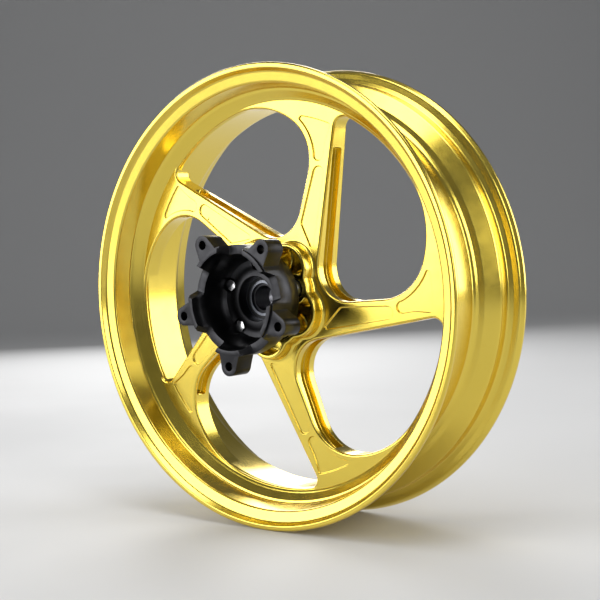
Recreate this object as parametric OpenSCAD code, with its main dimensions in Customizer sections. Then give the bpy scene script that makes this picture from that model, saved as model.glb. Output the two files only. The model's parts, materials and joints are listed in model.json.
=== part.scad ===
// Forged five-spoke rear wheel with its sprocket carrier, hub bearings and cush drive.
// Every piece is drawn about the wheel axis with +Z towards the sprocket side, and
// on_axle() lays that axis along -Y, so that the wheel stands upright on +Z.

/* [Rim] */
// Radius over the flange tips
rim_r = 232.3; // [230:0.1:235]
// Width over both flanges
rim_width = 125.6; // [123:0.1:128]
// Radius of the bead seats, where the tyre sits
bead_r = 218.3; // [217.8:0.1:218.8]
// Outer radius of the well between the bead seats
well_r = 198.5; // [198:0.1:199.5]
// Wall of the well
well_wall = 4; // [3.6:0.1:4.4]
// Bore of the valve hole
valve_bore = 8.4; // [8:0.1:11.5]
// Angle of the valve hole round the rim
valve_angle = 277; // [274:1:280]

/* [Spokes] */
// Height of the front face where it meets the rim
front_rim_h = 26.5; // [25:0.1:28]
// Rise of the front face for each mm towards the hub
front_slope = 0.062; // [0.05:0.001:0.07]
// Height of the back face where it meets the rim
back_rim_h = 6; // [4:0.1:7]
// Rise of the back face for each mm outwards
back_slope = 0.03; // [0.02:0.001:0.035]
// Radius of the window corner beside the hub
hub_fillet_r = 33.5; // [31:0.1:35]
// Radius of the tight part of the sweep into the rim
sweep_r = 49.3; // [46:0.1:52]
// Radius of the open part of the sweep into the rim
fan_r = 91.3; // [88:0.1:94]
// Radius of the window corner at the other end of the rim arc
rim_fillet_r = 10; // [8:0.5:13]
// Depth of the pockets in the front face
pocket_deep = 1.8; // [1:0.1:3]
// Depth of the groove milled along each window wall
groove_deep = 7; // [4:0.5:8]
// Width of that groove
groove_w = 13.5; // [11:0.5:14]

/* [Hub] */
// Height of the mouth of the cush drive cup
cup_h = 48; // [46:0.5:49]
// Wall of the cup
cup_wall = 4.5; // [4:0.1:5.5]
// Height of the floor of the cup
cup_floor_h = 30; // [28:0.5:32]
// Radius of the drive pins' circle
pin_circle_r = 36.16; // [36:0.01:36.5]
// Height of the far end of the hub
far_end_h = -36; // [-36.5:0.5:-35.5]
// Radius of the bolt circle of the brake disc
disc_circle_r = 36; // [35.5:0.5:36.5]

/* [Carrier] */
// Radius of the sprocket bolt circle
lug_circle_r = 64.2; // [64:0.1:64.5]
// Height of the sprocket faces
lug_h = 103.7; // [102.5:0.1:105]
// Radius of each lug
lug_r = 9.5; // [9:0.1:10]
// Bore of the sprocket bolt holes
lug_bore = 9.2; // [8.4:0.1:10.2]
// Radius of the ring that centres the sprocket
register_r = 53; // [52.5:0.1:53.2]
// Radius of the mouth of the carrier bearing
mouth_r = 22; // [21:0.1:22.5]
// Radius of the drive pins where they enter the rubber bushes
pin_r = 6.2; // [5.8:0.1:6.4]

/* [Axle] */
// Diameter of the wheel axle
axle_d = 25; // [24:0.5:26]
// Outside diameter of the distance tube and the carrier collar
tube_d = 31; // [30.5:0.1:31.5]

/* [Hidden] */
$fn = 96;
// Length of a cut that runs clear through
cut_len = 60;

// Colours
gold = [0.90, 0.80, 0.32];
satin_black = [0.13, 0.13, 0.14];
steel = [0.70, 0.70, 0.72];
dark_steel = [0.30, 0.30, 0.32];
rubber = [0.06, 0.06, 0.06];

// Repeat angles: five spokes, five lugs and, midway between the lugs, five drive pins
spokes = 5;
pitch = 360 / spokes;
lug_angle = 49.67;
pin_angle = lug_angle - pitch / 2;

// Rim section, one half; the other half mirrors it
half_w = rim_width / 2;
flange_t = 11.5;
flange_h = half_w - flange_t;
hump_h = half_w - 24.3;
well_h = 27;
well_in_r = well_r - well_wall;

// Window outline: the two spoke sides that bound a window, as lines
side_left = [75, 9.55];
side_right = [81.4 + pitch, 49.8];
sweep_start = 128.6;
window_r = well_in_r + 1;

// Pockets in a spoke's front face
rim_pocket_r = 182.8;
pocket_margin = 6.5;

// Grooves in the window walls
groove_top_h = 25.3;
groove_reach_r = 163;

// Hub: cup lobes on the lug angles, bush bosses on the pin angles
lobe_r = 25.5;
lobe_circle_r = 37;
cup_base_h = 2;
boss_r = 15.5;
bearing_boss_r = 27;
room_h = 42.4;
room_r = 28;
web_inner_r = 20;
far_boss_r = 29;
far_flange_r = 42;
far_flange_t = 8;
far_flange_h = far_end_h + 16;
disc_bolt_bore = 6.4;
through_r = 20;
bush_r = 10;
bush_bore_r = pin_r + 1;
bush_bottom_h = 20;
bush_top_h = 42;

// Hub bearings, 25 x 47 x 12, and carrier bearing, 30 x 47 x 9.
// A bearing is [near face, width, bore radius, ball circle, ball radius, balls]
bearing_r = 23.5;
near_bearing = [30, 12, axle_d / 2, 18, 3.3, 12];
far_bearing = [-22, 12, axle_d / 2, 18, 3.3, 12];
carrier_bearing = [54.5, 9, 15.1, 19.3, 2.4, 15];
inner_race_t = 2.7;
outer_race_t = 2.7;
track_gap = 0.05;
seal_t = 0.9;
seal_gap = 0.3;
seat_gap = 0.02;
clip_t = 1.2;
clip_groove_t = 1.4;
clip_groove_r = 24.6;
clip_in_r = 21.4;
clip_open = 24;
clip_play = 0.05;
near_clip_h = near_bearing[0] + 3 * clip_play;
carrier_clip_h = carrier_bearing[0] - carrier_bearing[1] - clip_t - 3 * clip_play;

// Carrier
wall_r = 54.5;
wall_back_h = 77;
register_h = 106.2;
lug_back_h = 81.7;
lug_foot_r = 50;
lug_foot_angle = 15.5;
cut_floor_h = 92;
cut_half_w = 12;
cut_flare = 5;
cut_round = 2;
carrier_back_h = 55;
carrier_back_r = 46.5;
carrier_tail_h = 43;
carrier_tail_r = 26.9;
lip_r = 48.5;
mouth_h = 66.4;
pin_shoulder_r = 9;
pin_shoulder_h = 48.5;
pin_bottom_h = 24;
pin_thread_h = 34;
head_r = 6;
washer_r = 6.6;
washer_t = 1.2;
head_h = 64.5;
seat_h = 58.5;
shank_r = 4;
counterbore_r = 7.5;
collar_end_h = 52;

// ---------------------------------------------------------------- helpers

module on_axle() {
    rotate([90, 0, 0]) children();
}

// Children repeated at every pitch from a first angle
module around(first = 0) {
    for (i = [0 : spokes - 1]) {
        rotate(first + i * pitch) children();
    }
}

module tube(outer, inner, low, high) {
    translate([0, 0, low]) difference() {
        cylinder(r = outer, h = high - low);
        translate([0, 0, -1]) cylinder(r = inner, h = high - low + 2);
    }
}

function polar(r, a) = [r * cos(a), r * sin(a)];

// Points of an arc about a centre, from one angle to another
function arc(centre, r, from, to, steps) =
    [for (i = [0 : steps]) centre + polar(r, from + (to - from) * i / steps)];

// Point where two lines meet; a line is [direction angle, signed distance of the axis]
function meet(a, b) =
    [b[1] * cos(a[0]) - a[1] * cos(b[0]), b[1] * sin(a[0]) - a[1] * sin(b[0])] / sin(b[0] - a[0]);

function bearing_of(p) = atan2(p[1], p[0]);

// Centre of a circle of radius r that touches a line from inside a larger circle about the axis
function corner_centre(line, r) =
    let (off = line[1] + r, reach = window_r - r, run = sqrt(reach * reach - off * off))
    [off * sin(line[0]) + run * cos(line[0]), run * sin(line[0]) - off * cos(line[0])];

// ---------------------------------------------------------------- window outline

hub_fillet_c = meet(
    [side_left[0], side_left[1] - hub_fillet_r],
    [side_right[0], side_right[1] + hub_fillet_r]
);
sweep_c = polar(sweep_start, side_left[0])
    + (side_left[1] - sweep_r) * [sin(side_left[0]), -cos(side_left[0])];
// The fan arc touches the sweep arc and the rim, both from inside
sweep_dist = norm(sweep_c);
fan_reach = window_r - fan_r;
fan_gap = fan_r - sweep_r;
fan_along = (fan_reach * fan_reach - fan_gap * fan_gap + sweep_dist * sweep_dist)
    / (2 * sweep_dist);
fan_across = sqrt(fan_reach * fan_reach - fan_along * fan_along);
fan_c = fan_along * sweep_c / sweep_dist
    + fan_across * [-sweep_c[1], sweep_c[0]] / sweep_dist;
rim_fillet_c = corner_centre(side_right, rim_fillet_r);
fan_turn = bearing_of(sweep_c - fan_c);

// Outline of a window, moved outwards by grow
function window_points(grow) = concat(
    arc(hub_fillet_c, hub_fillet_r + grow, side_right[0] - 270, side_left[0] - 90, 16),
    arc(sweep_c, sweep_r + grow, side_left[0] - 90, fan_turn, 12),
    arc(fan_c, fan_r + grow, fan_turn, bearing_of(fan_c), 10),
    arc([0, 0], window_r + grow, bearing_of(fan_c) + 1, bearing_of(rim_fillet_c) - 1, 12),
    arc(rim_fillet_c, rim_fillet_r + grow, bearing_of(rim_fillet_c), side_right[0] + 90, 8)
);

// ---------------------------------------------------------------- pockets

module rim_pocket_shape() {
    polygon(concat(
        arc([56, 139.5], 6, 185, 350, 6),
        [[64, 150], [67.5, 160], [71, 167.5]],
        arc([0, 0], rim_pocket_r, 67.6, 79.2, 6),
        arc(sweep_c, sweep_r + pocket_margin, 49, 6, 6)
    ));
}

module hub_pocket_shape() {
    polygon(concat(
        [[34.5, 73], [46.5, 48.5], [50, 49.5]],
        arc([56, 122], 6.5, -5, 165, 8)
    ));
}

// ---------------------------------------------------------------- forging

// Half outlines of the rim section: tyre side outwards from the well, axle side back again
rim_outside = [
    [well_r, well_h - 6], [well_r + 2.5, well_h - 3.5], [well_r + 7, well_h - 0.5],
    [bead_r - 0.3, hump_h - 1.2], [bead_r + 0.9, hump_h], [bead_r, hump_h + 2],
    [bead_r + 0.8, flange_h - 2],
    [bead_r + 2.5, flange_h], [bead_r + 8, flange_h + 2], [rim_r - 1, flange_h + 6],
    [rim_r, flange_h + 8], [rim_r, half_w - 1], [rim_r - 1, half_w]
];
rim_inside = [
    [rim_r - 5.5, half_w], [rim_r - 9.2, half_w - 5], [212.5, half_w - 7.9],
    [209.2, half_w - 27.7], [206.1, half_w - 28.5], [199.9, half_w - 34.3],
    [well_in_r, half_w - 37.2]
];

// A half outline with its mirror image, as one run of points
function both_sides(half) =
    let (last = len(half) - 1)
    half[0][1] < half[last][1]
        ? concat([for (i = [last : -1 : 0]) [half[i][0], -half[i][1]]], half)
        : concat(half, [for (i = [last : -1 : 0]) [half[i][0], -half[i][1]]]);

module rim_ring() {
    difference() {
        rotate_extrude($fn = 180) polygon(concat(both_sides(rim_outside), both_sides(rim_inside)));
        rotate([0, 90, valve_angle]) cylinder(d = valve_bore, h = rim_r);
    }
}

// Solid between the coned front and back faces of the spokes
module web_blank() {
    outer = well_in_r + 1.5;
    rotate_extrude($fn = 180) polygon([
        [web_inner_r, back_rim_h - (well_in_r - web_inner_r) * back_slope],
        [outer, back_rim_h],
        [outer, front_rim_h],
        [web_inner_r, front_rim_h + (well_in_r - web_inner_r) * front_slope]
    ]);
}

// Surface that the pockets are milled down to
module pocket_cutter() {
    low = lobe_circle_r;
    high = rim_pocket_r + 5;
    rotate_extrude($fn = 180) polygon([
        [low, front_rim_h + (well_in_r - low) * front_slope - pocket_deep],
        [high, front_rim_h + (well_in_r - high) * front_slope - pocket_deep],
        [high, cup_h],
        [low, cup_h]
    ]);
}

// All that is milled out of the spokes: windows, wall grooves and face pockets
module spoke_cuts() {
    around() translate([0, 0, -10]) linear_extrude(cut_len) polygon(window_points(0));
    around() intersection() {
        translate([0, 0, groove_top_h - groove_w]) linear_extrude(groove_w)
            polygon(window_points(groove_deep));
        cylinder(r = groove_reach_r, h = room_h);
    }
    intersection() {
        pocket_cutter();
        around() linear_extrude(cut_len) {
            rim_pocket_shape();
            hub_pocket_shape();
        }
    }
}

// Cup around the cush drive: five lobes between five bush bosses
module cup_outline(inset) {
    around(lug_angle) translate([lobe_circle_r, 0]) circle(lobe_r - inset);
}

module boss_outline() {
    around(pin_angle) translate([pin_circle_r, 0]) circle(boss_r);
}

module cup_solid() {
    translate([0, 0, cup_base_h]) linear_extrude(cup_h - cup_base_h) {
        cup_outline(0);
        boss_outline();
    }
}

// Five hollows between the bosses
module cup_hollows() {
    difference() {
        translate([0, 0, cup_floor_h]) linear_extrude(cup_h) difference() {
            cup_outline(cup_wall);
            boss_outline();
        }
        cylinder(r = bearing_boss_r, h = room_h);
    }
}

// Far side of the hub with the brake disc flange
module far_hub() {
    translate([0, 0, far_end_h]) cylinder(r = far_boss_r, h = cup_base_h + 2 - far_end_h);
    difference() {
        translate([0, 0, far_flange_h]) cylinder(r = far_flange_r, h = far_flange_t);
        around(pin_angle) translate([disc_circle_r, 0, far_end_h]) cylinder(d = disc_bolt_bore, h = cut_len);
    }
}

module wheel_forging() {
    seat_r = bearing_r + seat_gap;
    near_low = near_bearing[0] - near_bearing[1];
    far_low = far_bearing[0] - far_bearing[1];
    color(gold) on_axle() difference() {
        union() {
            rim_ring();
            difference() {
                web_blank();
                spoke_cuts();
            }
            cup_solid();
            far_hub();
        }
        cup_hollows();
        around(pin_angle) translate([pin_circle_r, 0, bush_bottom_h])
            cylinder(r = bush_r + seat_gap, h = cut_len);
        translate([0, 0, room_h]) cylinder(r = room_r, h = cut_len);
        translate([0, 0, near_low]) cylinder(r = seat_r, h = cut_len);
        translate([0, 0, near_bearing[0] + clip_play]) cylinder(r = clip_groove_r, h = clip_groove_t);
        translate([0, 0, far_low - 10]) cylinder(r = seat_r, h = 10 + far_bearing[1]);
        translate([0, 0, far_low]) cylinder(r = through_r, h = near_low - far_low + 1);
    }
}

// ---------------------------------------------------------------- sprocket carrier

// Bowl, bearing tail and register ring
module carrier_bowl() {
    rotate_extrude() polygon([
        [mouth_r, carrier_bearing[0]], [mouth_r, mouth_h - 0.6], [mouth_r + 0.8, mouth_h],
        [28, mouth_h - 0.4], [33, mouth_h - 1.9], [38.5, mouth_h - 1], [42, mouth_h + 4],
        [44, mouth_h + 13], [45.5, mouth_h + 27], [lip_r, lug_h - 3.5], [lip_r, register_h],
        [register_r, register_h], [register_r, lug_h], [wall_r, lug_h], [wall_r, wall_back_h],
        [52.8, 71], [49.8, 64], [carrier_back_r + 0.5, 57.5], [carrier_back_r, carrier_back_h],
        [carrier_tail_r, carrier_back_h], [carrier_tail_r, carrier_tail_h],
        [bearing_r + seat_gap, carrier_tail_h], [bearing_r + seat_gap, carrier_bearing[0]]
    ]);
}

// Outline of a cut in the bowl's wall between two lugs: a flat floor with flared sides
module wall_cut_outline() {
    run = cut_half_w - cut_round;
    low = cut_floor_h + cut_round;
    polygon(concat(
        arc([-run, low], cut_round, 195, 270, 4),
        arc([run, low], cut_round, 270, 345, 4),
        [[cut_half_w + cut_flare, register_h + 1], [-cut_half_w - cut_flare, register_h + 1]]
    ));
}

// Outline of one lug: a round post with straight arms running in to the bowl
module lug_outline() {
    foot = polar(lug_foot_r, lug_foot_angle);
    reach = foot - [lug_circle_r, 0];
    turn = bearing_of(reach) - acos(lug_r / norm(reach));
    tangent = [lug_circle_r, 0] + polar(lug_r - 0.1, turn);
    translate([lug_circle_r, 0]) circle(lug_r);
    polygon([foot, [foot[0], -foot[1]], [tangent[0], -tangent[1]], tangent]);
}

module sprocket_carrier() {
    color(satin_black) on_axle() difference() {
        union() {
            carrier_bowl();
            translate([0, 0, lug_back_h]) linear_extrude(lug_h - lug_back_h) difference() {
                around(lug_angle) lug_outline();
                circle(wall_r - 1);
            }
        }
        around(pin_angle) translate([mouth_r + 8, 0, 0]) rotate([90, 0, 90])
            linear_extrude(cut_len) wall_cut_outline();
        around(lug_angle) translate([lug_circle_r, 0, 0]) cylinder(d = lug_bore, h = lug_h + 1);
        around(pin_angle) translate([pin_circle_r, 0, seat_h]) cylinder(r = counterbore_r, h = cut_len);
        around(pin_angle) translate([pin_circle_r, 0, pin_shoulder_h])
            cylinder(r = shank_r + seat_gap, h = cut_len);
        translate([0, 0, carrier_bearing[0] - carrier_bearing[1] - clip_groove_t - clip_play])
            cylinder(r = clip_groove_r, h = clip_groove_t);
    }
}

// Steel pins that carry the drive from the carrier into the rubber bushes
module drive_pins() {
    color(dark_steel) on_axle() around(pin_angle) translate([pin_circle_r, 0, 0]) difference() {
        union() {
            translate([0, 0, pin_bottom_h]) cylinder(r = pin_r, h = pin_shoulder_h + 1 - pin_bottom_h);
            translate([0, 0, pin_shoulder_h])
                cylinder(r = pin_shoulder_r, h = carrier_back_h - pin_shoulder_h);
        }
        translate([0, 0, pin_thread_h]) cylinder(r = shank_r + seat_gap, h = cut_len);
    }
}

// Flanged hexagon bolts that hold the pins to the carrier
module pin_bolts() {
    color(steel) on_axle() around(pin_angle) translate([pin_circle_r, 0, 0]) {
        translate([0, 0, pin_thread_h + 1]) cylinder(r = shank_r, h = seat_h - pin_thread_h);
        translate([0, 0, seat_h]) cylinder(r = washer_r, h = washer_t);
        translate([0, 0, seat_h]) cylinder(r = head_r, h = head_h - seat_h, $fn = 6);
    }
}

// ---------------------------------------------------------------- cush drive and axle pieces

module bush_rubber(i) {
    color(rubber) on_axle() rotate(pin_angle + (i - 1) * pitch) translate([pin_circle_r, 0, 0])
        tube(bush_r, bush_bore_r, bush_bottom_h + seat_gap, bush_top_h);
}

module distance_tube() {
    color(steel) on_axle()
        tube(tube_d / 2, axle_d / 2, far_bearing[0], near_bearing[0] - near_bearing[1]);
}

module carrier_collar() {
    carrier_low = carrier_bearing[0] - carrier_bearing[1];
    color(satin_black) on_axle() difference() {
        union() {
            translate([0, 0, near_bearing[0]]) cylinder(d = tube_d + 2, h = carrier_low - near_bearing[0]);
            translate([0, 0, carrier_low - 1])
                cylinder(r = carrier_bearing[2] - seat_gap, h = collar_end_h - carrier_low + 1);
        }
        cylinder(d = axle_d, h = cut_len);
    }
}

// ---------------------------------------------------------------- bearings

// Track that the balls of a bearing run in
module ball_track(b) {
    rotate_extrude() translate([b[3], 0]) circle(b[4] + track_gap);
}

module outer_race(b) {
    color(steel) on_axle() translate([0, 0, b[0] - b[1] / 2]) difference() {
        tube(bearing_r, bearing_r - outer_race_t, -b[1] / 2, b[1] / 2);
        ball_track(b);
    }
}

module inner_race(b) {
    color(steel) on_axle() translate([0, 0, b[0] - b[1] / 2]) difference() {
        tube(b[2] + inner_race_t, b[2], -b[1] / 2, b[1] / 2);
        ball_track(b);
    }
}

module balls(b) {
    color(steel) on_axle() translate([0, 0, b[0] - b[1] / 2])
        for (i = [1 : b[5]]) rotate(i * 360 / b[5]) translate([b[3], 0, 0]) sphere(b[4], $fn = 48);
}

module cage(b) {
    half = b[4] + 0.7;
    color(dark_steel) on_axle() translate([0, 0, b[0] - b[1] / 2]) difference() {
        tube(b[3] + 0.8, b[3] - 0.8, -half, half);
        for (i = [1 : b[5]]) rotate(i * 360 / b[5]) translate([b[3] - 2, 0, 0]) rotate([0, 90, 0])
            cylinder(r = b[4] + 2 * track_gap, h = 4);
    }
}

// A seal on each face of a bearing, pressed into the outer race
module seals(b) {
    low = b[0] - b[1];
    seal_out = bearing_r - outer_race_t;
    seal_in = b[2] + inner_race_t + seal_gap;
    color(satin_black) on_axle() {
        tube(seal_out, seal_in, low + 0.1, low + 0.1 + seal_t);
        tube(seal_out, seal_in, b[0] - 0.1 - seal_t, b[0] - 0.1);
    }
}

// Spring ring with an open gap, seated in its groove
module circlip(low) {
    color(dark_steel) on_axle() difference() {
        tube(clip_groove_r - 0.05, clip_in_r, low, low + clip_t);
        rotate(-90) linear_extrude(120, center = true)
            polygon([[0, 0], polar(40, -clip_open / 2), polar(40, clip_open / 2)]);
    }
}

wheel_forging();
sprocket_carrier();
drive_pins();
pin_bolts();
bush_rubber(1);  // bush_rubber_1
bush_rubber(2);  // bush_rubber_2
bush_rubber(3);  // bush_rubber_3
bush_rubber(4);  // bush_rubber_4
bush_rubber(5);  // bush_rubber_5
distance_tube();
carrier_collar();
outer_race(near_bearing);  // near_outer_race
inner_race(near_bearing);  // near_inner_race
balls(near_bearing);  // near_balls
cage(near_bearing);  // near_cage
seals(near_bearing);  // near_seals
outer_race(far_bearing);  // far_outer_race
inner_race(far_bearing);  // far_inner_race
balls(far_bearing);  // far_balls
cage(far_bearing);  // far_cage
seals(far_bearing);  // far_seals
outer_race(carrier_bearing);  // carrier_outer_race
inner_race(carrier_bearing);  // carrier_inner_race
balls(carrier_bearing);  // carrier_balls
cage(carrier_bearing);  // carrier_cage
seals(carrier_bearing);  // carrier_seals
circlip(near_clip_h);  // near_circlip
circlip(carrier_clip_h);  // carrier_circlip
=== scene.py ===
"""Forged five-spoke rear wheel with its sprocket carrier.

Shapes are worked out in millimetres about the wheel axis: x and y across the wheel and h along
the axle towards the sprocket side. lay() turns them into metres in the frame, where h runs
along -Y and the wheel stands upright on +Z.
"""

import json
import math

import bmesh
import bpy
import numpy as np
from mathutils import Matrix, Vector
from mathutils.geometry import delaunay_2d_cdt


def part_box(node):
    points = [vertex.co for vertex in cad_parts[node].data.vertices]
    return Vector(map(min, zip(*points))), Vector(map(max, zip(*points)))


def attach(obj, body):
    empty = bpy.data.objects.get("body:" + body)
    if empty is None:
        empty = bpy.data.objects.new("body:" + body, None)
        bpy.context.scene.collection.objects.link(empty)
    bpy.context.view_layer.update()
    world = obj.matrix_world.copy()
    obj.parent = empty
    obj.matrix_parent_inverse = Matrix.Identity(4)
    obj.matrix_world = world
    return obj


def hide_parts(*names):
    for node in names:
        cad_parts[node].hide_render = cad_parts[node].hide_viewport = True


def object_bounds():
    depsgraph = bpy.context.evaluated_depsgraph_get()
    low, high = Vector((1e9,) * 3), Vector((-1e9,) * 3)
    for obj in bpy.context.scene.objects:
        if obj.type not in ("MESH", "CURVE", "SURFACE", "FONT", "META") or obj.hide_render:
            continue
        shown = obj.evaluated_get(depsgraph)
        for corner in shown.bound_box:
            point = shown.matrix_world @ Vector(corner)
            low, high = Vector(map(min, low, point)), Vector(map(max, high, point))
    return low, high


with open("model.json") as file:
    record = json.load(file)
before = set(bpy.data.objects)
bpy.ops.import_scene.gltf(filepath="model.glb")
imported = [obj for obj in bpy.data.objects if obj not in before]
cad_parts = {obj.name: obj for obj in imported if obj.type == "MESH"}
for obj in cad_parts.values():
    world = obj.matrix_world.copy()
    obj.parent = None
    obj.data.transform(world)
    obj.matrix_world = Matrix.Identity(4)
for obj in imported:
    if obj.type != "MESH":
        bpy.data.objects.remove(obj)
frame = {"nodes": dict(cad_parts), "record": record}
cad_low, cad_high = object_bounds()

MM = 0.001
PITCH = 72.0
LUG_ANGLE = 49.67
PIN_ANGLE = LUG_ANGLE - PITCH / 2
RIM_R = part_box("wheel_forging")[1].z / MM
HALF_W = -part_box("wheel_forging")[0].y / MM
# Radius of the valve hole and its angle round the rim
VALVE_R, VALVE_ANGLE = 4.2, 277.0
# Segments of a drilled hole
HOLE_STEPS = 48


# ---------------------------------------------------------------- plane geometry


def polar(r, deg):
    """Point at radius r and angle deg."""
    a = np.radians(deg)
    return np.stack([r * np.cos(a), r * np.sin(a)], -1)


def turned(points, deg):
    """Points turned about the axis by deg."""
    c, s = math.cos(math.radians(deg)), math.sin(math.radians(deg))
    return points @ np.array([[c, s], [-s, c]])


def arc(centre, r, start, end, step=1.5):
    """Points of a circle's arc: centre + r (cos t, sin t), with t from start to end degrees."""
    count = max(2, int(abs(end - start) / step) + 1)
    return np.asarray(centre) + polar(r, np.linspace(start, end, count))


def rounded(corners, radii, steps=4, closed=False):
    """Rounds each corner of a run of points into an arc that touches both straights.

    corners is (..., K, 2) and radii (..., K) or (K,). The arc starts r tan(turn / 2) before its
    corner. Returns points and unit tangents, (..., K * (steps + 1), 2).
    """
    corners = np.asarray(corners, float)
    radii = np.broadcast_to(np.asarray(radii, float), corners.shape[:-1]).copy()
    into = corners - np.roll(corners, 1, -2)
    away = np.roll(corners, -1, -2) - corners
    if not closed:
        into[..., 0, :] = away[..., 0, :]
        away[..., -1, :] = into[..., -1, :]
        radii[..., 0] = 0
        radii[..., -1] = 0
    into /= np.maximum(np.linalg.norm(into, axis=-1, keepdims=True), 1e-9)
    away /= np.maximum(np.linalg.norm(away, axis=-1, keepdims=True), 1e-9)
    cross = into[..., 0] * away[..., 1] - into[..., 1] * away[..., 0]
    turn = np.arctan2(np.abs(cross), (into * away).sum(-1))
    side = np.where(cross >= 0, 1.0, -1.0)[..., None]
    left = np.stack([-into[..., 1], into[..., 0]], -1)
    start = corners - into * (radii * np.tan(turn / 2))[..., None]
    centre = start + side * radii[..., None] * left
    angle = turn[..., None] * np.linspace(0, 1, steps + 1)
    cos, sin = np.cos(angle)[..., None], np.sin(angle)[..., None]
    into, left = into[..., None, :], left[..., None, :]
    side = side[..., None, :]
    reach = radii[..., None, None]
    points = centre[..., None, :] + reach * (sin * into - side * cos * left)
    tangents = cos * into + side * sin * left
    shape = corners.shape[:-2] + (-1, 2)
    return points.reshape(shape), tangents.reshape(shape)


def resampled(outline, spacing, extra=()):
    """A closed outline read at equal distances, plus the distances in extra: points, distances."""
    ring = np.vstack([outline, outline[:1]])
    far = np.concatenate([[0], np.cumsum(np.linalg.norm(np.diff(ring, axis=0), axis=1))])
    stations = np.linspace(0, far[-1], max(8, int(round(far[-1] / spacing))), endpoint=False)
    if len(extra):
        extra = np.asarray(extra, float)
        gap = np.abs(stations[:, None] - extra[None, :]).min(1)
        stations = np.sort(np.concatenate([stations[gap > 0.35 * spacing], extra]))
    points = np.stack([np.interp(stations, far, ring[:, k]) for k in (0, 1)], -1)
    return points, stations


def outward(points):
    """Unit normals of a closed outline that runs counter-clockwise, to its outside."""
    along = np.roll(points, -1, 0) - np.roll(points, 1, 0)
    along /= np.linalg.norm(along, axis=1, keepdims=True)
    return np.stack([along[:, 1], -along[:, 0]], -1)


def softened(points, width, rounds=1):
    """A closed outline with its corners eased: each point becomes a weighted mean of those near."""
    reach = np.arange(-width, width + 1)
    weights = np.exp(-((reach / (0.5 * width)) ** 2))
    weights /= weights.sum()
    for _ in range(rounds):
        points = sum(w * np.roll(points, k, 0) for w, k in zip(weights, reach))
    return points


# ---------------------------------------------------------------- meshes


class Shell:
    """Grids and sheets gathered into one mesh, each point with its own exact normal."""

    def __init__(self):
        self.points, self.normals, self.faces, self.count = [], [], [], 0

    def add(self, points, normals, faces):
        self.points.append(points.reshape(-1, 3))
        self.normals.append(normals.reshape(-1, 3))
        self.faces.extend((np.asarray(faces) + self.count).tolist())
        self.count += self.points[-1].shape[0]

    def grid(self, points, normals, wrap_u=True, wrap_v=False):
        """A (U, V, 3) grid of points as quads, facing along u x v."""
        u, v = points.shape[:2]
        i = np.arange(u if wrap_u else u - 1)[:, None]
        j = np.arange(v if wrap_v else v - 1)[None, :]
        a, b = i * v + j, ((i + 1) % u) * v + j
        c, d = ((i + 1) % u) * v + (j + 1) % v, i * v + (j + 1) % v
        self.add(points, normals, np.stack([a + 0 * b, b, c, d], -1).reshape(-1, 4))


def crossed(a, b):
    """Unit vectors along a x b."""
    n = np.cross(a, b)
    return n / np.maximum(np.linalg.norm(n, axis=-1, keepdims=True), 1e-12)


def lathe(shell, corners, radii, segments=240, steps=4, closed=True, bore=None):
    """A section of (r, h) corners, rounded, turned about the axis: (r cos t, r sin t, h).

    The section runs with the metal on its left. bore is the (radius, angle) of a hole drilled
    inwards through the straights that cross h = 0.
    """
    section, tangents = rounded(corners, radii, steps, closed)
    t = np.linspace(0, 2 * math.pi, segments, endpoint=False)[:, None]
    r, h = section[None, :, 0], section[None, :, 1]
    points = np.stack(np.broadcast_arrays(r * np.cos(t), r * np.sin(t), h), -1)
    nr, nh = tangents[None, :, 1], -tangents[None, :, 0]
    normals = np.stack(np.broadcast_arrays(nr * np.cos(t), nr * np.sin(t), nh), -1)
    shell.grid(points, normals, True, closed)
    if bore:
        drill(shell, section, segments, *bore)


def drill(shell, section, segments, radius, angle):
    """A radial hole through the two straights of a turned section that cross h = 0.

    Over a few stations of the turning, each straight's quads give way to a patch with a round
    hole, triangulated over (r t, h) and laid back on the cylinder (r cos t, r sin t, h).
    """
    h = section[:, 1]
    middle = int(round(angle * segments / 360))
    span = np.arange(middle - 3, middle + 4)
    t = 2 * math.pi * span / segments
    turn = np.radians(np.arange(HOLE_STEPS) * 360 / HOLE_STEPS)
    quads = np.array(shell.faces)
    drop, edges = np.zeros(len(quads), bool), []
    border, hole = np.arange(2 * len(t)), np.arange(HOLE_STEPS)
    lines = np.vstack(
        [
            np.stack([border, np.roll(border, -1)], -1),
            np.stack([hole, np.roll(hole, -1)], -1) + len(border),
        ]
    )
    for j in np.where(np.sign(h) != np.sign(np.roll(h, -1)))[0]:
        r, ends = section[j, 0], (h[j], h[(j + 1) % len(h)])
        drop |= np.isin(quads[:, 0], span[:-1] * len(section) + j)
        hole_t = math.radians(angle) + radius * np.cos(turn) / r
        turned_by = np.concatenate([t, t[::-1], hole_t])
        rise = np.concatenate([np.repeat(ends, len(t)), radius * np.sin(turn)])
        flat = np.stack([turned_by * r, rise], -1)
        made = delaunay_2d_cdt([Vector(p) for p in flat], lines.tolist(), [], 0, 1e-7, False)
        tris = np.array(made[2])
        tris = tris[tris.min(1) < len(border)]
        a, b, c = (flat[tris[:, k]] for k in range(3))
        area = (b - a)[:, 0] * (c - a)[:, 1] - (b - a)[:, 1] * (c - a)[:, 0]
        faces_out = ends[1] > ends[0]
        wrong = area < 0 if faces_out else area > 0
        tris[wrong] = tris[wrong][:, ::-1]
        away = np.column_stack([np.cos(turned_by), np.sin(turned_by), 0 * turned_by])
        points = np.column_stack([r * away[:, :2], rise])
        shell.add(points, away if faces_out else -away, tris)
        edges.append((r, points[len(border):]))
    shell.faces = quads[~drop].tolist() + shell.faces[len(quads):]
    (_, inner), (_, outer) = sorted(edges, key=lambda edge: edge[0])
    aside = polar(1, angle + 90)
    across = np.column_stack([np.cos(turn)[:, None] * aside, np.sin(turn)])
    shell.grid(np.stack([outer, inner], 1), np.repeat(-across[:, None], 2, 1))


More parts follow.
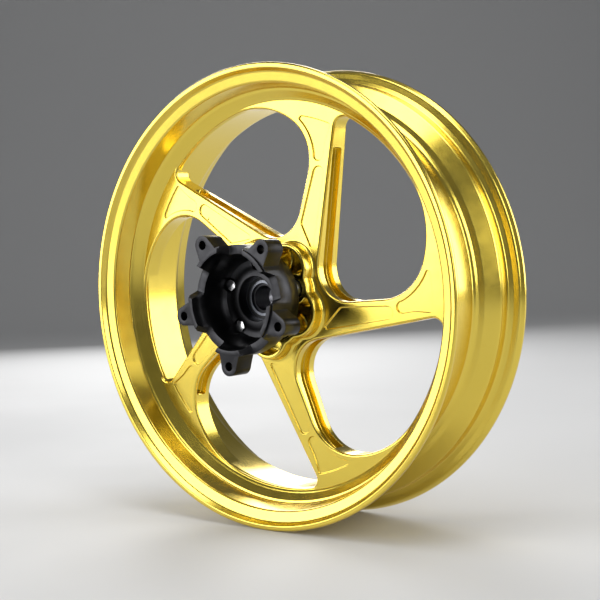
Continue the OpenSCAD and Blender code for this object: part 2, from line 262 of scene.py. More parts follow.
def carried(shell, path, out, corners, radii, steps=4):
    """A profile of (n, h) corners carried round a closed path: path + n out, at height h.

    n is measured along the path's outward normal, and the corners may differ at each station.
    Returns the loops that the profile's first and last points run along.
    """
    profile, tangents = rounded(corners, radii, steps)
    if profile.ndim == 2:
        profile, tangents = profile[None], tangents[None]
    flat = path[:, None, :] + profile[..., :1] * out[:, None, :]
    points = np.concatenate([flat, np.broadcast_to(profile[..., 1:], flat.shape[:2] + (1,))], -1)
    down = np.concatenate(
        [
            tangents[..., :1] * out[:, None, :],
            np.broadcast_to(tangents[..., 1:], flat.shape[:2] + (1,)),
        ],
        -1,
    )
    along = np.roll(points, -1, 0) - np.roll(points, 1, 0)
    shell.grid(points, crossed(along, down))
    return points[:, 0, :2], points[:, -1, :2]


def inside(points, loop):
    """Which points lie inside a loop, by counting the edges that cross a ray along +x."""
    x, y = points[:, 0:1], points[:, 1:2]
    ax, ay = loop[:, 0], loop[:, 1]
    bx, by = np.roll(ax, -1), np.roll(ay, -1)
    spans = (ay > y) != (by > y)
    with np.errstate(divide="ignore", invalid="ignore"):
        cut = ax + (y - ay) * (bx - ax) / (by - ay)
    return (np.where(spans & (x < cut), 1, 0).sum(1) % 2).astype(bool)


def sheet(shell, outer, holes, height, slope, spacing=5.0, up=True):
    """A nearly flat face between loops, at height(r), with its metal below if up.

    Its points are the loops' own points and a triangular lattice between them, joined by a
    Delaunay triangulation. slope is dh / dr.
    """
    loops = [outer] + list(holes)
    low, high = outer.min(0), outer.max(0)
    across = np.arange(low[0], high[0], spacing)
    upward = np.arange(low[1], high[1], spacing * 0.866)
    gx, gy = np.meshgrid(across, upward)
    gx = gx + (np.arange(len(upward)) % 2)[:, None] * spacing / 2
    lattice = np.stack([gx.ravel(), gy.ravel()], -1)
    keep = inside(lattice, outer)
    for hole in holes:
        keep &= ~inside(lattice, hole)
    lattice = lattice[keep]
    border = np.vstack(loops)
    near = np.full(len(lattice), 1e9)
    for part in np.array_split(border, max(1, len(border) // 400)):
        gap = np.linalg.norm(lattice[:, None] - part[None], axis=2).min(1)
        near = np.minimum(near, gap)
    lattice = lattice[near > 0.45 * spacing]
    edges, first = [], 0
    for loop in loops:
        ring = np.arange(len(loop))
        edges.append(np.stack([ring, (ring + 1) % len(loop)], -1) + first)
        first += len(loop)
    flat = np.vstack([border, lattice])
    made = delaunay_2d_cdt(
        [Vector(p) for p in flat], np.vstack(edges).tolist(), [], 0, 1e-7, False
    )
    verts = np.array([tuple(v) for v in made[0]])
    tris = np.array(made[2])
    middle = verts[tris].mean(1)
    good = inside(middle, outer)
    for hole in holes:
        good &= ~inside(middle, hole)
    tris = tris[good]
    r = np.linalg.norm(verts, axis=1)
    points = np.column_stack([verts, height(r)])
    tilt = np.broadcast_to(slope, r.shape)
    safe = np.maximum(r, 1e-9)
    normals = np.column_stack([-tilt * verts[:, 0] / safe, -tilt * verts[:, 1] / safe, 1 + 0 * r])
    normals /= np.linalg.norm(normals, axis=1, keepdims=True)
    a, b, c = (verts[tris[:, k]] for k in range(3))
    area = (b[:, 0] - a[:, 0]) * (c[:, 1] - a[:, 1]) - (b[:, 1] - a[:, 1]) * (c[:, 0] - a[:, 0])
    tris[area < 0] = tris[area < 0][:, ::-1]
    if not up:
        tris, normals = tris[:, ::-1], -normals
    shell.add(points, normals, tris)


def lay(points):
    """Wheel millimetres (x, y, h) as frame metres (x, -h, y)."""
    return np.stack([points[:, 0], -points[:, 2], points[:, 1]], -1)


def piece(name, shell, material, body, replaces=()):
    """The shell as one welded, smooth object that rides on a body."""
    points = np.vstack(shell.points)
    normals = np.vstack(shell.normals)
    key, index = np.unique(np.round(points / 2e-4).astype(np.int64), axis=0, return_inverse=True)
    index = index.ravel()
    first = np.full(len(key), -1)
    first[index[::-1]] = np.arange(len(points))[::-1]
    where, normals = points[first], normals[first]
    sizes = np.array([len(f) for f in shell.faces])
    flat = index[np.concatenate([np.asarray(f) for f in shell.faces])]
    faces = np.split(flat, np.cumsum(sizes)[:-1])
    kept = []
    for f in faces:
        ring = [int(v) for k, v in enumerate(f) if v != f[k - 1]]
        if len(set(ring)) == len(ring) and len(ring) > 2:
            kept.append(ring)
    mesh = bpy.data.meshes.new(name)
    mesh.from_pydata(lay(where) * MM, [], kept)
    mesh.validate()
    mesh.update()
    mesh.shade_smooth()
    if len(mesh.vertices) == len(where):
        mesh.normals_split_custom_set_from_vertices(lay(normals).tolist())
    mesh.materials.append(material)
    obj = bpy.data.objects.new(name, mesh)
    bpy.context.scene.collection.objects.link(obj)
    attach(obj, body)
    if replaces:
        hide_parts(*replaces)
    return obj


# ---------------------------------------------------------------- finishes


def finish_of(name, colour, metallic, roughness, **sockets):
    """A material with its shader's plain values set."""
    material = bpy.data.materials.new(name)
    material.use_nodes = True
    shader = material.node_tree.nodes["Principled BSDF"]
    shader.inputs["Base Color"].default_value = (*colour, 1)
    shader.inputs["Metallic"].default_value = metallic
    shader.inputs["Roughness"].default_value = roughness
    for socket, value in sockets.items():
        shader.inputs[socket.replace("_", " ")].default_value = value
    return material


def add_noise(material, scale, detail=4.0, stretch=(1, 1, 1)):
    """A noise field on the object's own coordinates."""
    tree = material.node_tree
    place = tree.nodes.new("ShaderNodeTexCoord")
    turn = tree.nodes.new("ShaderNodeMapping")
    turn.inputs["Scale"].default_value = stretch
    noise = tree.nodes.new("ShaderNodeTexNoise")
    noise.inputs["Scale"].default_value = scale
    noise.inputs["Detail"].default_value = detail
    tree.links.new(place.outputs["Object"], turn.inputs["Vector"])
    tree.links.new(turn.outputs["Vector"], noise.inputs["Vector"])
    return noise


def vary_roughness(material, noise, low, high):
    """Roughness that follows a noise field between two values."""
    tree = material.node_tree
    span = tree.nodes.new("ShaderNodeMapRange")
    span.inputs["From Min"].default_value = 0.3
    span.inputs["From Max"].default_value = 0.7
    span.inputs["To Min"].default_value = low
    span.inputs["To Max"].default_value = high
    tree.links.new(noise.outputs["Fac"], span.inputs["Value"])
    tree.links.new(span.outputs["Result"], tree.nodes["Principled BSDF"].inputs["Roughness"])


def vary_colour(material, noise, one, other):
    """Base colour that drifts between two colours with a noise field."""
    tree = material.node_tree
    mix = tree.nodes.new("ShaderNodeMix")
    mix.data_type = "RGBA"
    mix.inputs["A"].default_value = (*one, 1)
    mix.inputs["B"].default_value = (*other, 1)
    tree.links.new(noise.outputs["Fac"], mix.inputs["Factor"])
    tree.links.new(mix.outputs["Result"], tree.nodes["Principled BSDF"].inputs["Base Color"])


def add_bump(material, noise, distance, strength=0.3):
    """Fine relief from a noise field, in metres."""
    tree = material.node_tree
    bump = tree.nodes.new("ShaderNodeBump")
    bump.inputs["Distance"].default_value = distance
    bump.inputs["Strength"].default_value = strength
    tree.links.new(noise.outputs["Fac"], bump.inputs["Height"])
    tree.links.new(bump.outputs["Normal"], tree.nodes["Principled BSDF"].inputs["Normal"])


def metal(name, colour, drift, rough, grain, depth, **sockets):
    """Metal whose colour, roughness and grain drift over the surface."""
    material = finish_of(name, colour, 1.0, sum(rough) / 2, **sockets)
    broad = add_noise(material, 14.0, 3.0)
    vary_colour(material, broad, colour, drift)
    vary_roughness(material, add_noise(material, 70.0, 5.0), *rough)
    add_bump(material, add_noise(material, grain, 2.0), depth)
    return material


def rubbery(name, colour, rough):
    """Moulded rubber with a faint mottle."""
    material = finish_of(name, colour, 0.0, rough)
    vary_roughness(material, add_noise(material, 150.0), rough - 0.08, rough + 0.08)
    add_bump(material, add_noise(material, 900.0, 2.0), 0.00008)
    return material


GOLD = metal(
    "gold_anodised", (0.86, 0.66, 0.10), (0.82, 0.61, 0.08), (0.19, 0.26), 1800, 0.000008,
    Coat_Weight=0.5, Coat_Roughness=0.12,
)
BLACK = metal(
    "black_anodised", (0.040, 0.040, 0.043), (0.030, 0.030, 0.032), (0.30, 0.42), 1500, 0.00002
)
BOLT = metal("bright_bolt", (0.72, 0.72, 0.73), (0.62, 0.62, 0.64), (0.16, 0.26), 900, 0.00002)
DARK_STEEL = metal(
    "dark_steel", (0.23, 0.24, 0.27), (0.17, 0.18, 0.20), (0.28, 0.4), 900, 0.00002
)
CAGE = metal("cage_steel", (0.42, 0.40, 0.36), (0.33, 0.31, 0.28), (0.3, 0.42), 900, 0.00002)
TUBE = metal("tube_aluminium", (0.66, 0.66, 0.68), (0.58, 0.58, 0.6), (0.24, 0.36), 900, 0.00002)
BEARING = metal(
    "bearing_steel", (0.60, 0.60, 0.62), (0.52, 0.52, 0.54), (0.14, 0.24), 900, 0.00001
)
RUBBER = rubbery("black_rubber", (0.022, 0.022, 0.022), 0.62)
SEAL = rubbery("seal_rubber", (0.028, 0.028, 0.03), 0.45)

FINISH = {
    "gold_anodised": GOLD,
    "black_anodised": BLACK,
    "bright_bolt": BOLT,
    "dark_steel": DARK_STEEL,
    "cage_steel": CAGE,
    "tube_aluminium": TUBE,
    "bearing_steel": BEARING,
    "black_rubber": RUBBER,
    "seal_rubber": SEAL,
}
for part in frame["record"]["subparts"]:
    mesh = frame["nodes"][part["node"]].data
    mesh.materials.clear()
    mesh.materials.append(FINISH[part["material_slot"]])


# ---------------------------------------------------------------- rim


def rim_barrel():
    """The rim as one turned section: flanges, bead seats, humps and well outside, and inside the
    broad barrel that steps down to the spokes. Each corner is (r, h, rounding)."""
    half_out = [
        (198.5, 21.0, 8), (202.0, 24.6, 5), (206.5, 27.0, 4), (218.0, 37.0, 3), (219.3, 38.4, 1.5),
        (218.3, 40.6, 2), (219.0, 49.0, 3.2), (223.3, 52.2, 3), (229.6, 54.0, 4),
        (RIM_R, 58.6, 2.4), (RIM_R, HALF_W, 2.2),
    ]
    half_in = [
        (227.0, HALF_W, 1.6), (223.6, 57.6, 3.2), (213.2, 55.0, 3), (209.3, 35.4, 3),
        (206.3, 34.2, 2), (199.8, 28.4, 4), (194.5, 25.2, 9),
    ]
    half_out, half_in = np.array(half_out), np.array(half_in)
    mirror = np.array([1, -1, 1])
    section = np.vstack([(half_out * mirror)[::-1], half_out, half_in, (half_in * mirror)[::-1]])
    shell = Shell()
    lathe(shell, section[:, :2], section[:, 2], 360, bore=(VALVE_R, VALVE_ANGLE))
    return shell


piece("rim_barrel", rim_barrel(), GOLD, "wheel", ["wheel_forging"])


# ---------------------------------------------------------------- spokes

WELL_IN_R = 194.5
# Radius at which the spokes end inside the barrel's wall
STRIP_R = 198.0
WINDOW_R = 195.3
FRONT_RIM_H, FRONT_SLOPE = 26.5, 0.062
BACK_RIM_H, BACK_SLOPE = 6.0, 0.03
# The two sides of a window: direction in degrees and distance of the axis
SIDE_LEFT = (75.0, 9.55)
SIDE_RIGHT = (81.4 + PITCH, 49.8)
HUB_FILLET_R, SWEEP_R, FAN_R, RIM_FILLET_R = 33.5, 49.3, 91.3, 10.0
# Distance from the axis at which the left side starts to sweep round
SWEEP_START = 128.6
# Rounding of the window edges, and how far it reaches into the faces
EDGE = 2.4
EDGE_REACH = EDGE * 1.02
GROOVE_TOP, GROOVE_LOW, GROOVE_DEEP, GROOVE_END_R = 25.3, 11.8, 7.0, 163.0
GROOVE_CORNER = 2.5
POCKET_DEEP = 1.8
# How far a pocket's eased top edge and filleted floor reach from its wall
POCKET_TOP, POCKET_FOOT = 0.7, 1.3
POCKET_MARGIN = 6.5


def front_h(r):
    """Height of the spokes' front cone at radius r."""
    return FRONT_RIM_H + (WELL_IN_R - r) * FRONT_SLOPE


def back_h(r):
    """Height of the spokes' back cone at radius r."""
    return BACK_RIM_H - (WELL_IN_R - r) * BACK_SLOPE


def meet(a, b):
    """Where two lines cross; a line is (direction in degrees, distance of the axis from it)."""
    ta, tb = math.radians(a[0]), math.radians(b[0])
    over = math.sin(tb - ta)
    x = b[1] * math.cos(ta) - a[1] * math.cos(tb)
    y = b[1] * math.sin(ta) - a[1] * math.sin(tb)
    return np.array([x, y]) / over


def angle_of(p):
    """Direction of a point from the axis, in degrees."""
    return math.degrees(math.atan2(p[1], p[0]))


def window_centres():
    """Centres of the arcs that bound a window: hub fillet, sweep, fan and rim fillet."""
    hub = meet(
        (SIDE_LEFT[0], SIDE_LEFT[1] - HUB_FILLET_R), (SIDE_RIGHT[0], SIDE_RIGHT[1] + HUB_FILLET_R)
    )
    t = math.radians(SIDE_LEFT[0])
    aside = np.array([math.sin(t), -math.cos(t)])
    sweep = polar(SWEEP_START, SIDE_LEFT[0]) + (SIDE_LEFT[1] - SWEEP_R) * aside
    dist, reach, gap = float(np.linalg.norm(sweep)), WINDOW_R - FAN_R, FAN_R - SWEEP_R
    along = (reach**2 - gap**2 + dist**2) / (2 * dist)
    across = math.sqrt(reach**2 - along**2)
    fan = along * sweep / dist + across * np.array([-sweep[1], sweep[0]]) / dist
    off, reach = SIDE_RIGHT[1] + RIM_FILLET_R, WINDOW_R - RIM_FILLET_R
    run = math.sqrt(reach**2 - off**2)
    t = math.radians(SIDE_RIGHT[0])
    x, y = off * math.sin(t) + run * math.cos(t), run * math.sin(t) - off * math.cos(t)
    corner = np.array([x, y])
    return hub, sweep, fan, corner


HUB_C, SWEEP_C, FAN_C, CORNER_C = window_centres()


def window_outline():
    """One window, counter-clockwise: hub fillet, left side, sweep, fan, rim arc, corner and right
    side."""
    turn = angle_of(SWEEP_C - FAN_C)
    return np.vstack(
        [
            arc(HUB_C, HUB_FILLET_R, SIDE_RIGHT[0] - 270, SIDE_LEFT[0] - 90),
            arc(SWEEP_C, SWEEP_R, SIDE_LEFT[0] - 90, turn),
            arc(FAN_C, FAN_R, turn, angle_of(FAN_C))[1:],
            arc((0, 0), WINDOW_R, angle_of(FAN_C) + 0.3, angle_of(CORNER_C) - 0.3),
            arc(CORNER_C, RIM_FILLET_R, angle_of(CORNER_C), SIDE_RIGHT[0] + 90, 4),
        ]
    )


def groove_span(outline):
    """Distances along a window's outline at which the groove in its wall starts and ends, and the
    outline's whole length."""
    points, far = resampled(outline, 0.25)
    r = np.linalg.norm(points, axis=1)
    near = r < GROOVE_END_R
    start = np.where(near & ~np.roll(near, 1))[0]
    end = np.where(near & ~np.roll(near, -1))[0]
    length = far[-1] + 0.25
    return far[start[0]], far[end[0]], length


def spoke_web():
    """The five spokes: coned front and back faces, window walls with their milled grooves, and the
    shallow pockets in the front face."""
    shell = Shell()
    base = window_outline()
    start, end, length = groove_span(base)
    half = (GROOVE_TOP - GROOVE_LOW) / 2
    middle = (GROOVE_TOP + GROOVE_LOW) / 2
    eases = GROOVE_CORNER * (1 - np.cos(np.radians([0, 30, 60, 90])))
    ends = [[start - 0.01], start + eases, end - eases[::-1], [end + 0.01]]
    extra = np.concatenate(ends) % length
    path, far = resampled(base, 2.4, np.unique(np.round(extra, 6)))
    dense, dense_far = resampled(base, 0.5)
    out = outward(dense)
    out = np.stack([np.interp(far, dense_far, out[:, k], period=length) for k in (0, 1)], -1)
    out /= np.linalg.norm(out, axis=1, keepdims=True)
    # How far each station lies inside the groove, measured from the groove's nearer end
    if start > end:
        depth_in = np.minimum((far - start) % length, (end - far) % length)
        within = ((far - start) % length) <= ((end - start) % length) + 1e-6
    else:
        depth_in = np.minimum(far - start, end - far)
        within = (far >= start - 1e-6) & (far <= end + 1e-6)
    x = np.clip(GROOVE_CORNER - depth_in, 0, GROOVE_CORNER)
    eased = half - GROOVE_CORNER + np.sqrt(np.maximum(GROOVE_CORNER**2 - x**2, 0))
    width = np.where(within, eased, 0.0)
    deep = np.where(within, GROOVE_DEEP, 0.0)
    r0 = np.linalg.norm(path, axis=1)
    r1 = np.linalg.norm(path + EDGE_REACH * out, axis=1)
    top, low = front_h(r0), back_h(r0)
    zero = np.zeros(len(path))
    inner = np.minimum(0.9, 0.45 * width)
    corners = np.stack(
        [
            np.stack([zero + EDGE_REACH, front_h(r1)], -1),
            np.stack([zero, top], -1),
            np.stack([zero, middle + width], -1),
            np.stack([deep, middle + width], -1),
            np.stack([deep, middle - width], -1),
            np.stack([zero, middle - width], -1),
            np.stack([zero, low], -1),
            np.stack([zero + EDGE_REACH, back_h(r1)], -1),
        ],
        1,
    )
    lip = np.minimum(0.35, 0.3 * width)
    radii = np.stack([zero, zero + EDGE, lip, inner, inner, lip, zero + EDGE, zero], 1)
    fronts, backs, pockets = [], [], []
    for k in range(5):
        there, aside = turned(path, k * PITCH), turned(out, k * PITCH)
        one, other = carried(shell, there, aside, corners, radii, 5)
        fronts.append(one)
        backs.append(other)
    for k in range(5):
        for shape in pocket_outlines():
            there = turned(shape, k * PITCH)
            aside = outward(there)
            rim_edge, floor_edge = pocket(shell, there, aside)
            pockets.append(rim_edge)
            sheet(shell, floor_edge, [], lambda r: front_h(r) - POCKET_DEEP, -FRONT_SLOPE, 4.0)
    outer = polar(STRIP_R, np.linspace(0, 360, 300, endpoint=False))
    cup_hole = turned_cup(CUP_FILLET)
    sheet(shell, outer, fronts + pockets + [cup_hole], front_h, -FRONT_SLOPE, 4.0)
    sheet(shell, outer, backs + [ring(WEB_BACK_R)], back_h, BACK_SLOPE, 5.0, up=False)
    carried(shell, outer, outward(outer), [(0, back_h(STRIP_R)), (0, front_h(STRIP_R))], [0, 0])
    hub_cup(shell)
    far_hub(shell)
    return shell


def pocket(shell, path, out):
    """A pocket's wall: an eased top edge, a short wall and a filleted floor."""
    r_out = np.linalg.norm(path + POCKET_TOP * out, axis=1)
    r_in = np.linalg.norm(path - POCKET_FOOT * out, axis=1)
    r0 = np.linalg.norm(path, axis=1)
    zero = np.zeros(len(path))
    corners = np.stack(
        [
            np.stack([zero + POCKET_TOP, front_h(r_out)], -1),
            np.stack([zero, front_h(r0)], -1),
            np.stack([zero, front_h(r0) - POCKET_DEEP], -1),
            np.stack([zero - POCKET_FOOT, front_h(r_in) - POCKET_DEEP], -1),
        ],
        1,
    )
    radii = np.array([0, 0.6, 0.85, 0])
    return carried(shell, path, out, corners, radii, 3)


def pocket_outlines():
    """The two pockets of one spoke, with a narrow bridge between them."""
    sweep = arc(SWEEP_C, SWEEP_R + POCKET_MARGIN, 49, 6, 3)
    rim_end = arc((0, 0), 182.8, 67.6, 79.2, 1.0)
    toe = arc((56, 139.5), 6, 185, 350, 15)
    rim_pocket = np.vstack([toe, [(64, 150), (67.5, 160), (71, 167.5)], rim_end, sweep])
    hub_end = [(34.5, 73), (46.5, 48.5), (50, 49.5)]
    hub_pocket = np.vstack([hub_end, arc((56, 122), 6.5, -5, 165, 12)])
    eased = []
    for outline in (rim_pocket, hub_pocket):
        area = (outline * np.roll(outline, -1, 0)[:, ::-1] * [1, -1]).sum()
        outline = outline if area > 0 else outline[::-1]
        fine = softened(resampled(outline, 0.3)[0], 7, 2)
        eased.append(resampled(fine, 1.3)[0])
    return eased


# ---------------------------------------------------------------- hub

CUP_H, CUP_WALL, CUP_FLOOR_H = 48.0, 5.4, 30.0
CUP_FILLET, LIP = 4.3, 2.4
WEB_BACK_R = 36.0
HUB_STEPS = 144
ROOM_R, ROOM_H, BEARING_BOSS_R = 28.0, 42.4, 27.0
BUSH_BORE_R, BUSH_FLOOR_H = 10.02, 20.0
SEAT_R, CLIP_R, THROUGH_R = 23.52, 24.6, 20.0
NEAR_SEAT_H, CLIP_LOW_H, CLIP_TOP_H = 18.0, 30.05, 31.6
FAR_R, FAR_END_H, FAR_SEAT_H = 29.0, -36.0, -22.0
FLANGE_R, FLANGE_TOP_H, FLANGE_LOW_H = 42.0, -12.0, -20.0
DISC_CIRCLE_R, DISC_BOLT_R = 36.0, 3.2
# How far the roundings of the far flange reach into its faces
FLANGE_EASE = 1.4
LOBE_CIRCLE_R, LOBE_R = 37.0, 25.5
PIN_CIRCLE_R, BOSS_R = 36.16, 15.5


def reach_of(angles, centre_r, centre_angle, r):
    """How far a ray from the axis goes before it leaves a circle, or 0 where it misses."""
    off = np.radians(angles - centre_angle)
    side = r**2 - (centre_r * np.sin(off)) ** 2
    hit = (side > 0) & (np.cos(off) > 0)
    return np.where(hit, centre_r * np.cos(off) + np.sqrt(np.maximum(side, 0)), 0.0)


def cup_outline():
    """The cup's outside, counter-clockwise: the farthest of five lobes and five bosses."""
    angles = np.arange(0, 360, 0.2)
    reach = [reach_of(angles, LOBE_CIRCLE_R, LUG_ANGLE + PITCH * k, LOBE_R) for k in range(5)]
    reach += [reach_of(angles, PIN_CIRCLE_R, PIN_ANGLE + PITCH * k, BOSS_R) for k in range(5)]
    points = polar(np.max(reach, 0), angles)
    return resampled(softened(resampled(points, 0.25)[0], 20, 2), 1.5)[0]


CUP_PATH = cup_outline()
CUP_OUT = outward(CUP_PATH)


def turned_cup(grow):
    """The cup's outline moved outwards by grow."""
    return CUP_PATH + grow * CUP_OUT


def ring(r, centre=(0, 0), count=HUB_STEPS):
    """A circle's points, counter-clockwise from angle 0."""
    return np.asarray(centre) + polar(r, np.linspace(0, 360, count, endpoint=False))


def cup_opening():
    """The cup's mouth: the bearing room, and between the bush bosses five hollows that follow the
    lobes. Half of one fifth is a room arc, a boss arc and a lobe arc; the rest mirrors it."""
    boss, lobe = np.array([PIN_CIRCLE_R, 0]), polar(LOBE_CIRCLE_R, PITCH / 2)
    inset = LOBE_R - CUP_WALL
    cos = (ROOM_R**2 + PIN_CIRCLE_R**2 - BOSS_R**2) / (2 * ROOM_R * PIN_CIRCLE_R)
    room_turn = math.degrees(math.acos(cos))
    gap = lobe - boss
    dist = float(np.linalg.norm(gap))
    along = (BOSS_R**2 - inset**2 + dist**2) / (2 * dist)
    aside = math.sqrt(BOSS_R**2 - along**2)
    corner = boss + (along * gap + aside * np.array([gap[1], -gap[0]])) / dist
    half = np.vstack(
        [
            arc((0, 0), ROOM_R, 0, room_turn),
            arc(boss, BOSS_R, angle_of(polar(ROOM_R, room_turn) - boss), angle_of(corner - boss)),
            arc(lobe, inset, angle_of(corner - lobe), PITCH / 2),
        ]
    )
    mirror = turned((half * [1, -1])[::-1], PITCH)
    fifth = turned(np.vstack([half[:-1], mirror[:-1]]), PIN_ANGLE)
    whole = np.vstack([turned(fifth, PITCH * k) for k in range(5)])
    return resampled(softened(resampled(whole, 0.25)[0], 10, 2), 1.5)[0]


def hub_cup(shell):
    """The cush drive cup: a fillet up from the spokes to a lobed wall with a rounded lip, the
    hollows inside it, the bores for the bushes and the boss round the bearing."""
    zero = np.zeros(len(CUP_PATH))
    r_out = np.linalg.norm(CUP_PATH + CUP_FILLET * CUP_OUT, axis=1)
    r0 = np.linalg.norm(CUP_PATH, axis=1)
    corners = np.stack(
        [
            np.stack([zero + CUP_FILLET, front_h(r_out)], -1),
            np.stack([zero, front_h(r0)], -1),
            np.stack([zero, zero + CUP_H], -1),
            np.stack([zero - LIP, zero + CUP_H], -1),
        ],
        1,
    )
    _, lip = carried(shell, CUP_PATH, CUP_OUT, corners, [0, CUP_FILLET * 0.95, LIP * 0.98, 0], 6)
    mouth = cup_opening()
    drop = [(LIP, CUP_H), (0, CUP_H), (0, CUP_FLOOR_H), (-5, CUP_FLOOR_H)]
    rim_edge, floor_edge = carried(shell, mouth, outward(mouth), drop, [0, LIP * 0.98, 4.5, 0], 6)
    bores = []
    for k in range(5):
        path = ring(BUSH_BORE_R, polar(PIN_CIRCLE_R, PIN_ANGLE + PITCH * k), 64)
        drop = [(0.8, CUP_H), (0, CUP_H), (0, BUSH_FLOOR_H), (-1, BUSH_FLOOR_H)]
        top, low = carried(shell, path, outward(path), drop, [0, 0.7, 0.6, 0], 3)
        bores.append(top)
        sheet(shell, low, [], lambda r: BUSH_FLOOR_H + 0 * r, 0.0, 4.0)
    sheet(shell, lip, [rim_edge] + bores, lambda r: CUP_H + 0 * r, 0.0, 4.0)
    sheet(shell, floor_edge, [ring(BEARING_BOSS_R)], lambda r: CUP_FLOOR_H + 0 * r, 0.0, 4.0)


def far_hub(shell):
    """The bearing bore right through the hub, and the far side's tube and brake disc flange."""
    bore = [
        (BEARING_BOSS_R, CUP_FLOOR_H), (BEARING_BOSS_R, ROOM_H), (SEAT_R, ROOM_H),
        (SEAT_R, CLIP_TOP_H), (CLIP_R, CLIP_TOP_H), (CLIP_R, CLIP_LOW_H), (SEAT_R, CLIP_LOW_H),
        (SEAT_R, NEAR_SEAT_H),
        (THROUGH_R, NEAR_SEAT_H), (THROUGH_R, FAR_SEAT_H), (SEAT_R, FAR_SEAT_H),
        (SEAT_R, FAR_END_H),
        (FAR_R, FAR_END_H), (FAR_R, FLANGE_LOW_H), (FAR_R + FLANGE_EASE, FLANGE_LOW_H),
    ]
    eased = [0, 0.8, 0.6, 0.1, 0.1, 0.1, 0.1, 0.3, 0.5, 0.5, 0.3, 0.8, 0.8, 1.2, 0]
    lathe(shell, bore, eased, HUB_STEPS, 4, closed=False)
    rim_of_flange = [
        (FLANGE_R - FLANGE_EASE, FLANGE_LOW_H), (FLANGE_R, FLANGE_LOW_H), (FLANGE_R, FLANGE_TOP_H),
        (FLANGE_R - FLANGE_EASE, FLANGE_TOP_H),
    ]
    lathe(shell, rim_of_flange, [0, 1.2, 1.2, 0], HUB_STEPS, 4, closed=False)
    neck = [
        (FAR_R + FLANGE_EASE, FLANGE_TOP_H), (FAR_R, FLANGE_TOP_H), (FAR_R, back_h(WEB_BACK_R)),
        (WEB_BACK_R, back_h(WEB_BACK_R)),
    ]
    lathe(shell, neck, [0, 1.2, 5.5, 0], HUB_STEPS, 6, closed=False)
    tops, lows = [], []
    for k in range(5):
        path = ring(DISC_BOLT_R, polar(DISC_CIRCLE_R, PIN_ANGLE + PITCH * k), 40)
        drop = [(0.7, FLANGE_TOP_H), (0, FLANGE_TOP_H), (0, FLANGE_LOW_H), (0.7, FLANGE_LOW_H)]
        top, low = carried(shell, path, outward(path), drop, [0, 0.6, 0.6, 0], 3)
        tops.append(top)
        lows.append(low)
    wide, narrow = ring(FLANGE_R - FLANGE_EASE), ring(FAR_R + FLANGE_EASE)
    sheet(shell, wide, tops + [narrow], lambda r: FLANGE_TOP_H + 0 * r, 0.0, 4.0)
    sheet(shell, wide, lows + [narrow], lambda r: FLANGE_LOW_H + 0 * r, 0.0, 4.0, up=False)


piece("spoke_web", spoke_web(), GOLD, "wheel", ["wheel_forging"])

# ---------------------------------------------------------------- carrier


def eased_copy(name, node, width, body, slot):
    """A node's own mesh with its points merged and its edges rounded over."""
    mesh = frame["nodes"][node].data.copy()
    mesh.name = name
    soup = bmesh.new()
    soup.from_mesh(mesh)
    bmesh.ops.remove_doubles(soup, verts=soup.verts, dist=2e-6)
    soup.to_mesh(mesh)
    soup.free()
    mesh.materials.clear()
    mesh.materials.append(FINISH[slot])
    obj = bpy.data.objects.new(name, mesh)
    bpy.context.scene.collection.objects.link(obj)
    bevel = obj.modifiers.new("rounded_edges", "BEVEL")
    bevel.width, bevel.segments, bevel.limit_method = width * MM, 3, "ANGLE"
    bevel.angle_limit = math.radians(28)
    bevel.harden_normals = True
    mesh.shade_smooth()
    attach(obj, body)
    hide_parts(node)
    return obj


eased_copy("carrier_casting", "sprocket_carrier", 0.5, "carrier", "black_anodised")
eased_copy("carrier_bolt_heads", "pin_bolts", 0.4, "carrier", "bright_bolt")

# ---------------------------------------------------------------- floor, light and camera

FLOOR_Z = cad_low.z
LENS_MM, SENSOR_MM = 81.58, 36.0
CAMERA_PLACE = (0.8837, -1.0804, 0.0583)
# Directions of the picture's right and top edges, and from the wheel back to the lens
CAMERA_AXES = ((0.77566, 0.63007, -0.03698), (0.0, 0.05858, 0.99828), (0.63116, -0.77432, 0.04544))
ROOM_COLOUR, ROOM_STRENGTH = (0.8, 0.82, 0.85, 1), 0.16
# Soft boxes: name, place, target, width, height and power
LAMPS = [
    ("front_left", (-1.45, -1.75, 0.55), (0, 0, 0.05), 1.7, 1.5, 31),
    ("back_right", (1.7, 1.8, 0.7), (0, 0, 0), 1.4, 1.6, 30),
    ("back_left", (-1.6, 1.5, 0.9), (0, 0, 0), 1.2, 1.4, 26),
    ("overhead", (0.3, -0.3, 2.2), (0, 0, 0), 1.6, 1.4, 30),
    ("right", (2.2, -0.9, 0.9), (0, 0, 0), 0.7, 1.6, 16),
]


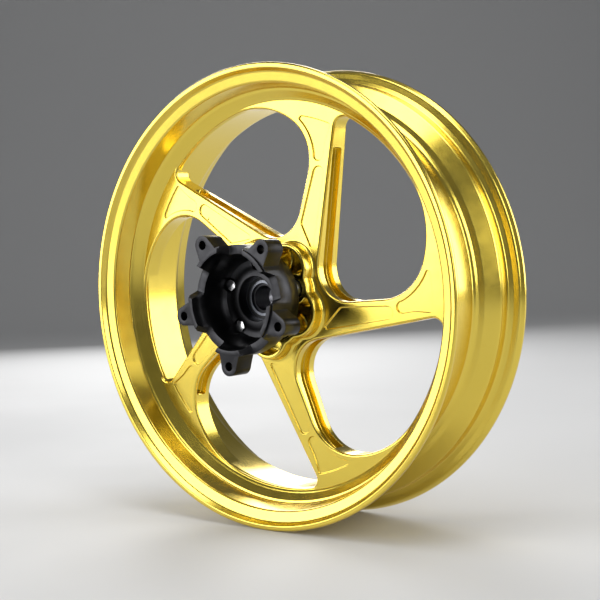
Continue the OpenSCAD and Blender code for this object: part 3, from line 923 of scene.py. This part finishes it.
def studio():
    """A pale floor that curves up into a backdrop, and a dim, even room.

    The section is a straight run, a quarter circle s = b + R sin t, z = R (1 - cos t), and a
    straight wall; it is carried sideways as one wide sheet.
    """
    near, bend, reach, tall, wide = -9.0, 3.2, 2.4, 7.0, 12.0
    t = np.radians(np.linspace(0, 90, 25))
    along = np.concatenate([[near], bend + reach * np.sin(t), [bend + reach]])
    rise = np.concatenate([[0], reach * (1 - np.cos(t)), [tall]])
    ahead, aside = np.array([-0.632, 0.775]), np.array([0.775, 0.632])
    flat = along[:, None, None] * ahead + np.array([-wide, wide])[None, :, None] * aside
    height = np.broadcast_to((FLOOR_Z + rise)[:, None, None], flat.shape[:2] + (1,))
    points = np.concatenate([flat, height], -1).reshape(-1, 3)
    first = 2 * np.arange(len(along) - 1)[:, None]
    mesh = bpy.data.meshes.new("floor")
    mesh.from_pydata(points, [], (first + np.array([0, 1, 3, 2])).tolist())
    mesh.shade_smooth()
    floor = bpy.data.objects.new("floor", mesh)
    bpy.context.scene.collection.objects.link(floor)
    paper = finish_of("pale_floor", (0.62, 0.62, 0.62), 0.0, 0.7)
    vary_roughness(paper, add_noise(paper, 3.0), 0.62, 0.78)
    mesh.materials.append(paper)
    world = bpy.data.worlds.new("room")
    world.use_nodes = True
    background = world.node_tree.nodes["Background"]
    background.inputs["Color"].default_value = ROOM_COLOUR
    background.inputs["Strength"].default_value = ROOM_STRENGTH
    bpy.context.scene.world = world


def soft_box(name, place, target, width, height, power):
    """A rectangular lamp at a place, facing a target."""
    data = bpy.data.lights.new(name, "AREA")
    data.shape = "RECTANGLE"
    data.size, data.size_y, data.energy = width, height, power
    lamp = bpy.data.objects.new(name, data)
    bpy.context.scene.collection.objects.link(lamp)
    lamp.location = place
    aim = Vector(target) - Vector(place)
    lamp.rotation_euler = aim.to_track_quat("-Z", "Y").to_euler()


def camera():
    """A long lens that looks at the sprocket side from a little above the axle."""
    data = bpy.data.cameras.new("camera")
    data.lens, data.sensor_width = LENS_MM, SENSOR_MM
    cam = bpy.data.objects.new("camera", data)
    bpy.context.scene.collection.objects.link(cam)
    turn = Matrix(CAMERA_AXES).transposed().to_4x4()
    cam.matrix_world = Matrix.Translation(CAMERA_PLACE) @ turn
    bpy.context.scene.camera = cam


bpy.context.scene.view_settings.view_transform = "Standard"
studio()
for lamp in LAMPS:
    soft_box(*lamp)
camera()
